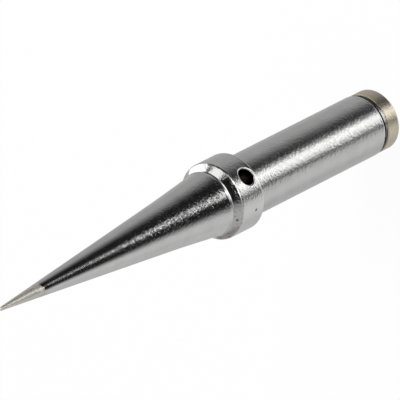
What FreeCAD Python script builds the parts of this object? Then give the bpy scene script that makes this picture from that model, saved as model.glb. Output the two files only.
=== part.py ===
import FreeCAD, Part
import math
import os

# A long conical soldering iron tip, turned from copper bar and plated, with a slug of
# magnetic alloy fixed to its rear end. Millimetres. The axis is Z, the point is up, and
# the origin is the centre of the slug's flat rear face.

# Lengths along the axis, from the point to the rear
reach = 25.4                  # point to the front edge of the collar's land
collar_chamfer_length = 0.6   # sloped front of the collar, inside the reach
cone_foot_length = 4.6        # steeper foot of the cone, in front of the chamfer
collar_land_length = 2.5      # cylindrical part of the collar
shank_length = 15.7           # collar's back to the shank's rear edge
groove_width = 0.16           # groove behind the shank's rear edge
joint_ring_width = 0.28       # silver ring between the groove and the slug
slug_length = 1.28            # magnetic slug

# Diameters
point_diameter = 0.28
cone_foot_diameter = 4.23     # where the straight cone ends and the foot begins
cone_base_diameter = 5.3      # where the foot meets the collar's chamfer
collar_diameter = 6.35
shank_diameter = 5.08
groove_diameter = 4.64
joint_ring_diameter = 4.94
slug_diameter = 5.01

# Rounded edges and corners
point_rounding = 0.11
cone_foot_rounding = 25.0
cone_base_fillet = 0.3
collar_front_rounding = 0.3
collar_back_rounding = 0.12
shank_corner_fillet = 0.12
shank_end_rounding = 0.15
slug_rear_rounding = 0.15

# Blind cross hole in the collar, drilled from the front (-Y) towards the axis
hole_diameter = 1.4
hole_depth = 2.2              # full diameter, below the collar's surface
hole_back_land = 0.02         # land left between the hole's rim and the back's rounding
hole_drill_angle = 118.0      # full angle of the hole's conical bottom
hole_rim_rounding = 0.12      # rounded edge of the hole's mouth

# Heights above the rear face
joint_z = slug_length
groove_z = joint_z + joint_ring_width
shank_end_z = groove_z + groove_width
collar_back_z = shank_end_z + shank_length
collar_front_z = collar_back_z + collar_land_length
cone_base_z = collar_front_z + collar_chamfer_length
cone_foot_z = cone_base_z + cone_foot_length
point_z = collar_front_z + reach
hole_rim_z = collar_back_z + collar_back_rounding + hole_back_land
hole_z = hole_rim_z + hole_rim_rounding + hole_diameter / 2


def turned_solid(corners):
    """Turn a half section about Z. Each corner is (radius, height, rounding)."""
    points = [FreeCAD.Vector(r, 0, z) for r, z, rounding in corners]
    edges = []
    start = points[0]
    for i in range(1, len(corners) - 1):
        corner = points[i]
        rounding = corners[i][2]
        back = (points[i - 1] - corner).normalize()
        ahead = (points[i + 1] - corner).normalize()
        half_angle = back.getAngle(ahead) / 2
        if rounding > 0:
            setback = rounding / math.tan(half_angle)
            middle = (back + ahead).normalize()
            to_arc = rounding / math.sin(half_angle) - rounding
            arc_start = corner + back * setback
            arc_end = corner + ahead * setback
            edges.append(Part.LineSegment(start, arc_start).toShape())
            edges.append(Part.Arc(arc_start, corner + middle * to_arc, arc_end).toShape())
            start = arc_end
        else:
            edges.append(Part.LineSegment(start, corner).toShape())
            start = corner
    edges.append(Part.LineSegment(start, points[-1]).toShape())
    edges.append(Part.LineSegment(points[-1], points[0]).toShape())
    section = Part.Face(Part.Wire(edges))
    return section.revolve(FreeCAD.Vector(0, 0, 0), FreeCAD.Vector(0, 0, 1), 360)


def tip_body():
    """The turned and plated copper body, from the point to the joint with the slug."""
    body = turned_solid([
        (0, point_z, 0),
        (point_diameter / 2, point_z, point_rounding),
        (cone_foot_diameter / 2, cone_foot_z, cone_foot_rounding),
        (cone_base_diameter / 2, cone_base_z, cone_base_fillet),
        (collar_diameter / 2, collar_front_z, collar_front_rounding),
        (collar_diameter / 2, collar_back_z, collar_back_rounding),
        (shank_diameter / 2, collar_back_z, shank_corner_fillet),
        (shank_diameter / 2, shank_end_z, shank_end_rounding),
        (groove_diameter / 2, shank_end_z, 0),
        (groove_diameter / 2, groove_z, 0),
        (joint_ring_diameter / 2, groove_z, 0),
        (joint_ring_diameter / 2, joint_z, 0),
        (0, joint_z, 0),
    ])
    drilled = body.cut(collar_hole())
    return drilled.makeFillet(hole_rim_rounding, hole_mouth_edges(drilled))


def collar_hole():
    """The cutter for the cross hole: a drill with a conical bottom."""
    hole_radius = hole_diameter / 2
    inward = FreeCAD.Vector(0, 1, 0)
    mouth = FreeCAD.Vector(0, -collar_diameter / 2, hole_z)
    above = 1.0
    start = mouth - inward * above
    drill = Part.makeCylinder(hole_radius, above + hole_depth, start, inward)
    point_length = hole_radius / math.tan(math.radians(hole_drill_angle / 2))
    point_start = mouth + inward * hole_depth
    point = Part.makeCone(hole_radius, 0, point_length, point_start, inward)
    return drill.fuse(point)


def hole_mouth_edges(drilled):
    """The edges where the cross hole meets the collar's land: hole's width, on the front."""
    edges = []
    for edge in drilled.Edges:
        box = edge.BoundBox
        hole_wide = abs(box.XLength - hole_diameter) < 0.02 * hole_diameter
        hole_high = abs(box.ZLength - hole_diameter) < 0.02 * hole_diameter
        on_land = box.YMax < -(collar_diameter / 2 - hole_depth / 2)
        if hole_wide and hole_high and on_land:
            edges.append(edge)
    return edges


def sensor_slug():
    """The plain disc of magnetic alloy that lies against the body's rear face."""
    return turned_solid([
        (0, slug_length, 0),
        (slug_diameter / 2, slug_length, 0),
        (slug_diameter / 2, 0, slug_rear_rounding),
        (0, 0, 0),
    ])


pieces = {
    "tip_body": tip_body(),
    "sensor_slug": sensor_slug(),
}

os.makedirs("parts", exist_ok=True)
for name, shape in pieces.items():
    shape.exportStep("parts/" + name + ".step")
    print(name, "valid", shape.isValid(), "solids", len(shape.Solids), "mm3", round(shape.Volume, 2))
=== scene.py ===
import math
import bpy
from mathutils import Matrix, Vector

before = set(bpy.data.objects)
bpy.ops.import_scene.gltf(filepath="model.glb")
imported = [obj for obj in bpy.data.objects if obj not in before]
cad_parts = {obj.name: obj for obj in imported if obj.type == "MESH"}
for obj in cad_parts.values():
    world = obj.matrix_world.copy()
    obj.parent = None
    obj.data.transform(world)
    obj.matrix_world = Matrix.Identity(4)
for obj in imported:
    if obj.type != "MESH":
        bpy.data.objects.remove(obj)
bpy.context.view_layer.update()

# Heights above the rear face, in metres
slug_top = 0.00128
ring_top = 0.00156
shank_end = 0.00172
collar_back = 0.01742
hole_height = 0.01838
collar_front = 0.01992
cone_base = 0.02052
cone_foot = 0.02512
point_top = 0.04532

# Distances from the axis, and lengths of the finish, in metres
ring_radius = 0.00247
shank_radius = 0.00254
collar_radius = 0.003175
hole_lip = 0.000145           # painted shade on the hole's wall starts this far below the collar's land
hole_reach = 0.0009           # just over the radius of the hole's rounded mouth
tinned_length = 0.0046
flare_length = 0.0012         # the cone's surface rises towards the collar over this length

# Colours, dark and light where a cloud pattern mixes them
plating = ((0.55, 0.55, 0.55), (0.68, 0.68, 0.67))
solder = ((0.55, 0.537, 0.475), (0.73, 0.716, 0.655))
alloy = ((0.50, 0.455, 0.355), (0.77, 0.71, 0.57))
alloy_edge = (0.61, 0.57, 0.46)
# Painted light: a brighter colour for the lower side of the collar's land
lower_land_light = (0.76, 0.76, 0.75)
# Painted highlight on the rounded edges at the collar's back and the shank's end
painted_edge_glint = (0.95, 0.95, 0.94)
burnt_flux = (0.30, 0.22, 0.16)
pit_brown = (0.14, 0.12, 0.10)
rust_brown = (0.16, 0.11, 0.08)
nick_black = (0.05, 0.045, 0.04)
# Painted shade on the ring's sides, away from the front
ring_side_shade = (0.06, 0.054, 0.04)
# Painted shade in the groove between the shank and the ring
groove_shade = (0.012, 0.011, 0.010)
# Painted shade on the hole's wall
hole_shade = (0.10, 0.09, 0.075)

# Direction from the object to the camera, and the picture's own directions
camera_tilt = math.radians(43.79)
camera_turn = math.radians(-10.4)
axis_slope = math.radians(26.86)
front = Vector((math.sin(camera_turn), -math.cos(camera_turn), 0))
side = Vector((math.cos(camera_turn), math.sin(camera_turn), 0))
up = Vector((0, 0, 1))
to_camera = front * math.cos(camera_tilt) + up * math.sin(camera_tilt)
along = up * math.cos(camera_tilt) - front * math.sin(camera_tilt)
picture_right = -along * math.cos(axis_slope) - side * math.sin(axis_slope)
picture_up = -along * math.sin(axis_slope) + side * math.cos(axis_slope)


# Helpers for node trees
def math_node(tree, operation, a, b=None, c=None):
    node = tree.nodes.new("ShaderNodeMath")
    node.operation = operation
    for socket, value in zip(node.inputs, (a, b, c)):
        if value is None:
            continue
        if isinstance(value, (int, float)):
            socket.default_value = value
        else:
            tree.links.new(value, socket)
    return node.outputs[0]


def product(tree, *values):
    result = values[0]
    for value in values[1:]:
        result = math_node(tree, "MULTIPLY", result, value)
    return result


def smooth_step(tree, value, low, high):
    """0 below low and 1 above high, or the other way round where low is above high."""
    node = tree.nodes.new("ShaderNodeMapRange")
    node.interpolation_type = "SMOOTHSTEP"
    node.inputs["To Min"].default_value = 0 if low < high else 1
    node.inputs["To Max"].default_value = 1 if low < high else 0
    node.inputs["From Min"].default_value = min(low, high)
    node.inputs["From Max"].default_value = max(low, high)
    tree.links.new(value, node.inputs["Value"])
    return node.outputs["Result"]


def between(tree, value, low, high, soft_low, soft_high=None):
    """1 from low to high and 0 outside, with an edge of the given width at each end."""
    soft_high = soft_low if soft_high is None else soft_high
    rise = smooth_step(tree, value, low - soft_low / 2, low + soft_low / 2)
    fall = smooth_step(tree, value, high + soft_high / 2, high - soft_high / 2)
    return math_node(tree, "MULTIPLY", rise, fall)


def dot_with(tree, vector, direction):
    node = tree.nodes.new("ShaderNodeVectorMath")
    node.operation = "DOT_PRODUCT"
    tree.links.new(vector, node.inputs[0])
    node.inputs[1].default_value = direction
    return node.outputs["Value"]


def distance_to(tree, vector, point):
    node = tree.nodes.new("ShaderNodeVectorMath")
    node.operation = "DISTANCE"
    tree.links.new(vector, node.inputs[0])
    node.inputs[1].default_value = point
    return node.outputs["Value"]


def colour_mix(tree, factor, a, b):
    node = tree.nodes.new("ShaderNodeMix")
    node.data_type = "RGBA"
    if isinstance(factor, (int, float)):
        node.inputs["Factor"].default_value = factor
    else:
        tree.links.new(factor, node.inputs["Factor"])
    for socket, value in ((node.inputs[6], a), (node.inputs[7], b)):
        if isinstance(value, tuple):
            socket.default_value = value + (1,)
        else:
            tree.links.new(value, socket)
    return node.outputs[2]


def noise(tree, vector, scale, detail=2.0, roughness=0.5):
    node = tree.nodes.new("ShaderNodeTexNoise")
    node.inputs["Scale"].default_value = scale
    node.inputs["Detail"].default_value = detail
    node.inputs["Roughness"].default_value = roughness
    tree.links.new(vector, node.inputs["Vector"])
    return node.outputs["Fac"]


def stretched(tree, vector, x, y, z):
    node = tree.nodes.new("ShaderNodeMapping")
    node.inputs["Scale"].default_value = (x, y, z)
    tree.links.new(vector, node.inputs["Vector"])
    return node.outputs["Vector"]


def new_material(name):
    material = bpy.data.materials.new(name)
    material.use_nodes = True
    tree = material.node_tree
    shader = tree.nodes["Principled BSDF"]
    place = tree.nodes.new("ShaderNodeTexCoord").outputs["Object"]
    return material, tree, shader, place


def height_and_radius(tree, place):
    """The height above the rear face, and the distance from the axis."""
    parts = tree.nodes.new("ShaderNodeSeparateXYZ")
    tree.links.new(place, parts.inputs["Vector"])
    x_squared = product(tree, parts.outputs["X"], parts.outputs["X"])
    y_squared = product(tree, parts.outputs["Y"], parts.outputs["Y"])
    radius = math_node(tree, "SQRT", math_node(tree, "ADD", x_squared, y_squared))
    return parts.outputs["Z"], radius


def painted(tree, colour, paint, mask, strength=1.0):
    """The colour, with the paint over it where the mask is 1."""
    return colour_mix(tree, product(tree, mask, strength), colour, paint)


def bump(tree, height, distance, normal=None):
    node = tree.nodes.new("ShaderNodeBump")
    node.inputs["Distance"].default_value = distance
    node.inputs["Strength"].default_value = 1.0
    tree.links.new(height, node.inputs["Height"])
    if normal is not None:
        tree.links.new(normal, node.inputs["Normal"])
    return node.outputs["Normal"]


def on_surface(turn, radius, height):
    """A point of the surface, by its angle from the camera's side, in degrees."""
    angle = math.radians(turn)
    return (front * math.cos(angle) + side * math.sin(angle)) * radius + up * height


# Masks of the plated body. A mask is 1 where its feature is and 0 elsewhere.
def solder_masks(tree, place, height):
    """The solder, its rise from a slanting, ragged edge, and the burnt flux behind that edge."""
    ragged = noise(tree, stretched(tree, place, 1, 1, 0.5), 3000, 2.0, 0.5)
    slanted = math_node(tree, "MULTIPLY_ADD", dot_with(tree, place, side), -0.35, height)
    waves = product(tree, math_node(tree, "SUBTRACT", ragged, 0.5), 0.0006)
    edge = math_node(tree, "ADD", slanted, waves)
    tinned_from = point_top - tinned_length
    tinned = smooth_step(tree, edge, tinned_from - 0.00004, tinned_from + 0.00004)
    behind_edge = between(tree, edge, tinned_from - 0.0005, tinned_from, 0.0006, 0.0002)
    in_front = smooth_step(tree, dot_with(tree, place, front), 0.00048, 0.0006)
    rim = smooth_step(tree, edge, tinned_from, tinned_from + 0.0008)
    return tinned, rim, product(tree, behind_edge, in_front)


def nick_mask(tree, place):
    """Two small nicks, on the lower side of the chamfer and of the collar's land."""
    nicks = None
    for turn, radius, height, size in ((-49, 0.00290, 0.02028, 0.00016),
                                       (-42, collar_radius, 0.01838, 0.00017)):
        distance = distance_to(tree, place, on_surface(turn, radius, height))
        spot = smooth_step(tree, distance, size, size / 2)
        nicks = spot if nicks is None else math_node(tree, "MAXIMUM", nicks, spot)
    return nicks


def edge_glint_mask(tree, height):
    """Painted highlight on the edges at the back of the collar and the end of the shank."""
    shank_edge = between(tree, height, shank_end, shank_end + 0.00014, 0.00003)
    collar_edge = between(tree, height, collar_back, collar_back + 0.00011, 0.00003)
    return math_node(tree, "MAXIMUM", shank_edge, collar_edge)


# Painted shade on the hole's wall, below its rounded mouth
def hole_mask(tree, height, radius):
    by_height = between(tree, height, hole_height - hole_reach, hole_height + hole_reach, 0.00002)
    lip = collar_radius - hole_lip
    return product(tree, by_height, smooth_step(tree, radius, lip, lip - 0.00008))


def joint_masks(tree, place, height, radius):
    """Painted shade in the groove and a dark joint line at the slug, painted shade on the ring's
    sides away from the front, and the ring's edge by the slug.
    """
    below_shank = smooth_step(tree, height, shank_end, ring_top)
    # Painted shade in the groove below the shank's end
    groove = product(tree, below_shank,
                     smooth_step(tree, radius, ring_radius - 0.00004, ring_radius - 0.00008))
    joint = between(tree, height, slug_top + 0.00010, slug_top + 0.00013, 0.00002)
    dark = math_node(tree, "MAXIMUM", groove, product(tree, joint, 0.75))
    ring = product(tree, smooth_step(tree, height, ring_top + 0.00002, ring_top - 0.00002),
                   smooth_step(tree, radius, ring_radius - 0.00007, ring_radius - 0.00003))
    # Painted shade: the ring is painted dark except at its front
    away_from_front = smooth_step(tree, dot_with(tree, place, front), 0.00236, 0.00215)
    shaded_ring = product(tree, ring, math_node(tree, "MULTIPLY_ADD", away_from_front, 0.75, 0.20))
    by_slug = smooth_step(tree, height, slug_top + 0.00010, slug_top + 0.00008)
    return dark, shaded_ring, by_slug


def plated_relief(tree, place, height, grain, tinned, rim, on_cone, chamfer):
    """Even grain on the shank and collar, fine specks on the cone that fade towards its point,
    mottles on the chamfer, and waves in the solder."""
    behind_cone = smooth_step(tree, height, cone_base, collar_front)
    relief = product(tree, grain, math_node(tree, "MULTIPLY_ADD", behind_cone, 1.2, 0.30))
    specks = smooth_step(tree, noise(tree, place, 6000, 1.0, 0.5), 0.45, 0.75)
    flare = math_node(tree, "MULTIPLY_ADD", height, -1 / flare_length, cone_base / flare_length + 1)
    flare = math_node(tree, "POWER", math_node(tree, "MAXIMUM", flare, 0.0), 3.0)
    for pattern, where, size in ((specks, on_cone, 0.23),
                                 (noise(tree, place, 3200, 2.0, 0.6), chamfer, 0.6),
                                 (noise(tree, place, 2200, 1.0, 0.5), tinned, 0.6),
                                 (flare, on_cone, 2.4),
                                 (rim, tinned, 4.2)):
        relief = math_node(tree, "MULTIPLY_ADD", product(tree, pattern, where), size, relief)
    return relief


# Plated body: satin metal with fine grain and a tinned end, with painted shade in the hole
def plated_metal():
    material, tree, shader, place = new_material("satin_plating")
    height, radius = height_and_radius(tree, place)
    sideways = dot_with(tree, place, side)
    grain = noise(tree, stretched(tree, place, 0.75, 0.75, 1.35), 4800, 2.5, 0.65)
    cloud = noise(tree, place, 800, 3.0, 0.55)
    tinned, rim, stain = solder_masks(tree, place, height)
    on_cone = product(tree, smooth_step(tree, height, cone_base, cone_base + 0.0004),
                      smooth_step(tree, height, point_top - 0.007, cone_foot + 0.002))
    chamfer = between(tree, height, collar_front, cone_base, 0.0002)

    colour = painted(tree, colour_mix(tree, cloud, *plating), burnt_flux, stain, 0.7)
    colour = painted(tree, colour, colour_mix(tree, cloud, *solder), tinned)

    # Painted light: the lower side of the collar's land is painted a little brighter than the rest
    land = product(tree, between(tree, height, collar_back, collar_front, 0.0003),
                   smooth_step(tree, sideways, 0.0, -0.0015))
    colour = painted(tree, colour, lower_land_light, land, 0.6)

    # The lower side of the chamfer is pitted, and stained where it meets the cone
    pits = product(tree, smooth_step(tree, noise(tree, place, 3800, 2.0, 0.5), 0.56, 0.68),
                   chamfer, smooth_step(tree, sideways, -0.0008, -0.0020))
    rust = product(tree, between(tree, height, collar_front + 0.0001, cone_base + 0.0001, 0.0003),
                   smooth_step(tree, sideways, -0.0025, -0.0028))
    colour = painted(tree, colour, pit_brown, pits, 0.5)
    colour = painted(tree, colour, rust_brown, rust, 0.5)

    dark, shaded_ring, by_slug = joint_masks(tree, place, height, radius)
    colour = painted(tree, colour, nick_black, nick_mask(tree, place), 0.75)
    # Painted highlight: near white on the edges at the collar's back and the shank's end
    colour = painted(tree, colour, painted_edge_glint, edge_glint_mask(tree, height))
    # Painted shade on the ring's sides
    colour = painted(tree, colour, ring_side_shade, shaded_ring)
    colour = painted(tree, colour, alloy_edge, by_slug)
    # Painted shade: the groove near black, and a dark joint line at the slug
    colour = painted(tree, colour, groove_shade, dark)
    # Painted shade: the hole's wall painted dark brown
    colour = painted(tree, colour, hole_shade, hole_mask(tree, height, radius))
    tree.links.new(colour, shader.inputs["Base Color"])

    relief = plated_relief(tree, place, height, grain, tinned, rim, on_cone, chamfer)
    fine = bump(tree, relief, 0.000018)
    tree.links.new(bump(tree, cloud, 0.0000045, fine), shader.inputs["Normal"])

    # Oxide makes the solder duller than the plating
    metallic = math_node(tree, "MULTIPLY_ADD", tinned, -0.15, 1.0)
    tree.links.new(metallic, shader.inputs["Metallic"])
    roughness = math_node(tree, "MULTIPLY_ADD", grain, 0.12, 0.06)
    roughness = math_node(tree, "MULTIPLY_ADD", tinned, 0.27, roughness)
    roughness = math_node(tree, "MULTIPLY_ADD", on_cone, -0.01, roughness)
    tree.links.new(roughness, shader.inputs["Roughness"])
    return material


# Slug: warm nickel-iron alloy, turned and left bare
def slug_metal():
    material, tree, shader, place = new_material("magnetic_alloy")
    grain = noise(tree, stretched(tree, place, 1, 1, 1.3), 4200, 2.5, 0.65)
    cloud = noise(tree, place, 900, 3.0, 0.6)
    roughness = math_node(tree, "MULTIPLY_ADD", grain, 0.14, 0.22)
    shader.inputs["Metallic"].default_value = 1.0
    tree.links.new(colour_mix(tree, cloud, *alloy), shader.inputs["Base Color"])
    tree.links.new(roughness, shader.inputs["Roughness"])
    tree.links.new(bump(tree, grain, 0.000018), shader.inputs["Normal"])
    return material


def dress(node_name, material):
    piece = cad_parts[node_name]
    if not piece.material_slots:
        piece.data.materials.append(material)
    for slot in piece.material_slots:
        slot.material = material


dress("tip_body", plated_metal())
dress("sensor_slug", slug_metal())


# Floor: matt and pale, and close to white where the camera sees it
def add_floor():
    half_size = 0.6
    white_share = 0.93
    mesh = bpy.data.meshes.new("floor")
    corners = [(x * half_size, y * half_size, 0) for x, y in ((-1, -1), (1, -1), (1, 1), (-1, 1))]
    mesh.from_pydata(corners, [], [(0, 1, 2, 3)])
    floor = bpy.data.objects.new("floor", mesh)
    bpy.context.scene.collection.objects.link(floor)
    material = bpy.data.materials.new("pale_floor")
    material.use_nodes = True
    tree = material.node_tree
    matt = tree.nodes["Principled BSDF"]
    matt.inputs["Base Color"].default_value = (0.8, 0.8, 0.8, 1)
    matt.inputs["Roughness"].default_value = 1.0
    matt.inputs["Specular IOR Level"].default_value = 0.0
    glow = tree.nodes.new("ShaderNodeEmission")
    glow.inputs["Color"].default_value = (1, 1, 1, 1)
    glow.inputs["Strength"].default_value = 1.0
    path = tree.nodes.new("ShaderNodeLightPath")
    mix = tree.nodes.new("ShaderNodeMixShader")
    tree.links.new(product(tree, path.outputs["Is Camera Ray"], white_share), mix.inputs["Fac"])
    tree.links.new(matt.outputs["BSDF"], mix.inputs[1])
    tree.links.new(glow.outputs["Emission"], mix.inputs[2])
    tree.links.new(mix.outputs["Shader"], tree.nodes["Material Output"].inputs["Surface"])
    mesh.materials.append(material)
    floor.visible_glossy = False


add_floor()


# Studio: the panels and cards that the metal reflects. Turn is the compass angle from the
# camera's side of the object, towards the picture's top, and lift is the angle above level.
def studio_light():
    world = bpy.data.worlds.new("studio")
    bpy.context.scene.world = world
    world.use_nodes = True
    tree = world.node_tree
    direction = tree.nodes.new("ShaderNodeTexCoord").outputs["Generated"]
    ahead = dot_with(tree, direction, front)
    aside = dot_with(tree, direction, side)
    rise = dot_with(tree, direction, up)
    degrees = math.degrees(1)
    turn = product(tree, math_node(tree, "ARCTAN2", aside, ahead), degrees)
    lift = product(tree, math_node(tree, "ARCSINE", rise), degrees)
    all_round = (-200, 200)
    open_studio = 0.54

    # Each one: turn from and to, the softness of these two edges, lift from and to, the
    # softness of these two edges, and brightness. A later one covers an earlier one.
    panels = [
        ("lower_wall", (-100, -46), (40, 22), (-95, -18), (5, 30), 0.74),
        ("upper_wall", (58, 140), (30, 50), (-95, 40), (5, 20), 0.47),
        ("table", (-70, 50), (60, 60), (-95, -60), (1, 8), 1.0),
        ("front_panel", (-21, 16), (12, 16), (-61, -39), (6, 5), 1.6),
        ("graded_card", (27, 68), (18, 54), (-58, -38), (6, 5), 0.04),
        ("thin_card", (-38, -29), (9, 9), (-58, -38), (6, 5), 0.10),
        ("cone_wall", (-170, -100), (30, 30), (-38.5, -20), (4, 6), 0.72),
        ("cone_card", (-48, 75), (36, 56), (-38.5, -20), (4, 6), 0.015),
        ("panel_glow", (-5, 12), (9, 20), (-40, -35.6), (3, 3), 3.1),
        ("foot_line", (-6, 13), (10, 16), (-28.5, -23), (4, 4), 1.8),
        ("foot_glow", (-10, 22), (14, 14), (-23, -14), (5, 6), 0.8),
        ("level_box", (-20, 32), (10, 10), (-17, 18), (8, 6), 2.0),
        ("high_box", (50, 94), (8, 8), (-12, 42), (10, 6), 1.35),
        ("far_box", (94, 150), (8, 12), (-12, 42), (10, 6), 1.8),
        ("back_card", (-200, -152), (1, 12), (-18, 24), (4, 10), 0.08),
        ("back_card_end", (164, 200), (10, 1), (-18, 24), (4, 10), 0.08),
        ("side_card", (46, 104), (10, 20), (-27, 13), (8, 8), 0.03),
        ("box_frame", (89, 100), (6, 6), (2, 50), (8, 4), 0.1),
        ("lens_shade", (-42, 53), (40, 12), (22, 50), (6, 3), 0.01),
        ("top_panel", all_round, (1, 1), (52, 95), (4, 1), 1.2),
    ]
    total = open_studio
    for name, turns, turn_soft, lifts, lift_soft, bright in panels:
        mask = product(tree,
                       between(tree, turn, turns[0], turns[1], turn_soft[0], turn_soft[1]),
                       between(tree, lift, lifts[0], lifts[1], lift_soft[0], lift_soft[1]))
        change = math_node(tree, "SUBTRACT", bright, total)
        total = math_node(tree, "MULTIPLY_ADD", mask, change, total)
        total.node.label = name

    # The camera sees plain white where the metal sees the panels
    background = tree.nodes["Background"]
    camera_ray = tree.nodes.new("ShaderNodeLightPath").outputs["Is Camera Ray"]
    other_ray = math_node(tree, "SUBTRACT", 1.0, camera_ray)
    strength = math_node(tree, "MULTIPLY_ADD", other_ray, total, camera_ray)
    background.inputs["Color"].default_value = (1, 1, 1, 1)
    tree.links.new(strength, background.inputs["Strength"])


studio_light()


# Lamp: one soft lamp, which the metal doesn't mirror
def add_lamp():
    lamp = bpy.data.lights.new("soft_lamp", "AREA")
    lamp.shape = "DISK"
    lamp.size = 0.3
    lamp.energy = 1.2
    holder = bpy.data.objects.new("soft_lamp", lamp)
    bpy.context.scene.collection.objects.link(holder)
    place = side * 0.25 + front * 0.15 + up * 0.4
    target = up * 0.02
    holder.location = place
    holder.rotation_euler = (target - place).to_track_quat("-Z", "Y").to_euler()
    holder.visible_glossy = False


add_lamp()


# Camera: a long lens, so that the picture is almost free of perspective
def add_camera():
    picture_size = 400
    sensor_size = 36
    shank_half_width = 32.52      # pixels
    pixels_away = 16000           # the camera's distance, and its focal length
    aim_x = 233.15                # where the collar's back comes in the picture, in pixels
    aim_y = 191.08
    metres_per_pixel = shank_radius / shank_half_width
    camera_data = bpy.data.cameras.new("camera")
    camera_data.sensor_width = sensor_size
    camera_data.lens = sensor_size * pixels_away / picture_size
    camera_data.clip_start = 0.01
    camera_data.clip_end = 10
    camera = bpy.data.objects.new("camera", camera_data)
    bpy.context.scene.collection.objects.link(camera)
    middle = up * collar_back
    middle = middle - picture_right * ((aim_x - picture_size / 2) * metres_per_pixel)
    middle = middle + picture_up * ((aim_y - picture_size / 2) * metres_per_pixel)
    place = middle + to_camera * (pixels_away * metres_per_pixel)
    turned = Matrix((picture_right, picture_up, to_camera)).transposed()
    camera.matrix_world = Matrix.Translation(place) @ turned.to_4x4()
    bpy.context.scene.camera = camera


add_camera()

bpy.context.scene.view_settings.view_transform = "Standard"
